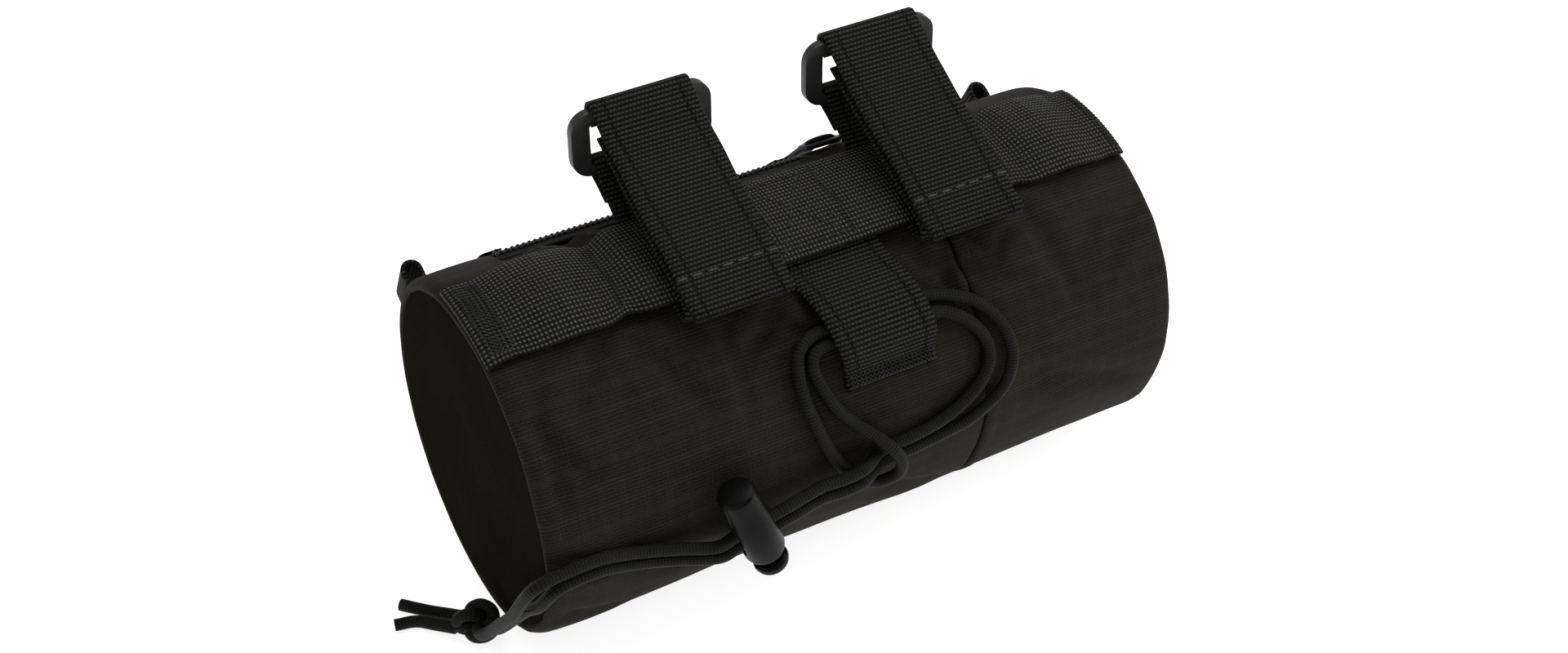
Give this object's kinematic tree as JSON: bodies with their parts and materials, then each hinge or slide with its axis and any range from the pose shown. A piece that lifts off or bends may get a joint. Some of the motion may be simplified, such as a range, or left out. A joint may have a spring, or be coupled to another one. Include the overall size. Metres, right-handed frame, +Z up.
{
  "type": "handlebar bag",
  "caption": "Barrel-shaped padded handlebar bag with a lengthwise zip mouth, webbing attachment strip, ring-and-tail mounting straps, and a shock cord with a cord lock.",
  "frame": {"origin": "middle of the small flat the barrel rests on, level with the surface under it", "axes": "+X along the barrel to the viewer's right, +Y away from the cord side towards the zip mouth, +Z up to the mounting straps"},
  "size_m": [0.1945, 0.1013, 0.1148],
  "materials": {
    "ripstop": "dark grey ripstop cloth, matte",
    "end_cloth": "plain dark grey cloth, matte",
    "lining": "plain grey lining cloth",
    "foam": "closed-cell padding foam",
    "webbing": "heavy black woven webbing",
    "hook_and_loop": "black hook-and-loop tape",
    "zip": "black coil zip and tape",
    "slider_metal": "dark painted metal",
    "ring_plastic": "matte black moulded plastic",
    "lock_plastic": "black moulded plastic",
    "shock_cord": "black braided sheath over an elastic core",
    "spring_steel": "bright spring steel wire"
  },
  "bodies": {
    "bag": {"body_panel_left": "ripstop", "body_panel_right": "ripstop", "wall_foam": "foam", "wall_lining": "lining", "end_panel_left": "end_cloth", "end_panel_right": "end_cloth", "end_foam_left": "foam", "end_foam_right": "foam", "seam_binding_left": "end_cloth", "seam_binding_right": "end_cloth", "zip_tape_fixed": "zip", "zip_coil_fixed": "zip", "daisy_chain": "webbing", "cord_tab": "webbing", "end_loop_left": "webbing", "end_loop_right": "webbing", "strap_1_webbing": "webbing", "strap_1_loop_patch": "hook_and_loop", "strap_2_webbing": "webbing", "strap_2_loop_patch": "hook_and_loop", "cord_bight": "shock_cord", "cord_strand_lower": "shock_cord", "cord_strand_upper": "shock_cord", "cord_end_lower": "shock_cord", "cord_end_upper": "shock_cord", "cord_knot": "shock_cord"},
    "mouth_lip": {"mouth_lip": "ripstop", "mouth_lip_foam": "foam", "mouth_lip_lining": "lining", "zip_tape_lip": "zip", "zip_coil_lip": "zip"},
    "zip_slider": {"zip_slider": "slider_metal"},
    "zip_puller": {"zip_puller": "slider_metal"},
    "ring_1": {"strap_1_ring": "ring_plastic"},
    "ring_2": {"strap_2_ring": "ring_plastic"},
    "tail_1": {"strap_1_tail": "webbing", "strap_1_hook_patch": "hook_and_loop"},
    "tail_2": {"strap_2_tail": "webbing", "strap_2_hook_patch": "hook_and_loop"},
    "cord_lock": {"lock_barrel": "lock_plastic", "lock_spring": "spring_steel"},
    "lock_plunger": {"lock_plunger": "lock_plastic"}
  },
  "joints": [
    {"name": "mouth_open", "type": "hinge", "parent": "bag", "child": "mouth_lip", "pos_m": [-0.025, 0.04333, 0.03521], "axis": [-1, 0, 0], "range_deg": [0, 65]},
    {"name": "zip_slide", "type": "slide", "parent": "bag", "child": "zip_slider", "axis": [-1, 0, 0], "range_m": [0, 0.0948]},
    {"name": "puller_swing", "type": "hinge", "parent": "zip_slider", "child": "zip_puller", "pos_m": [0.0228, 0.0235, 0.0836], "axis": [1, 0, 0], "range_deg": [0, 100]},
    {"name": "ring_1_tilt", "type": "hinge", "parent": "bag", "child": "ring_1", "pos_m": [-0.0275, 0.0205, 0.09735], "axis": [-1, 0, 0], "range_deg": [0, 10]},
    {"name": "tail_1_lift", "type": "hinge", "parent": "ring_1", "child": "tail_1", "pos_m": [-0.0275, 0.0205, 0.11155], "axis": [-1, 0, 0], "range_deg": [0, 150]},
    {"name": "ring_2_tilt", "type": "hinge", "parent": "bag", "child": "ring_2", "pos_m": [0.034, 0.0205, 0.09735], "axis": [-1, 0, 0], "range_deg": [0, 10]},
    {"name": "tail_2_lift", "type": "hinge", "parent": "ring_2", "child": "tail_2", "pos_m": [0.034, 0.0205, 0.11155], "axis": [-1, 0, 0], "range_deg": [0, 150]},
    {"name": "lock_slide", "type": "slide", "parent": "bag", "child": "cord_lock", "axis": [0.9781, 0, 0.2079], "range_m": [-0.003, 0.004]},
    {"name": "plunger_press", "type": "slide", "parent": "cord_lock", "child": "lock_plunger", "axis": [-0.342, 0, 0.9397], "range_m": [0, 0.002], "stiffness_N_per_m": 300, "springref_m": -0.002}
  ]
}
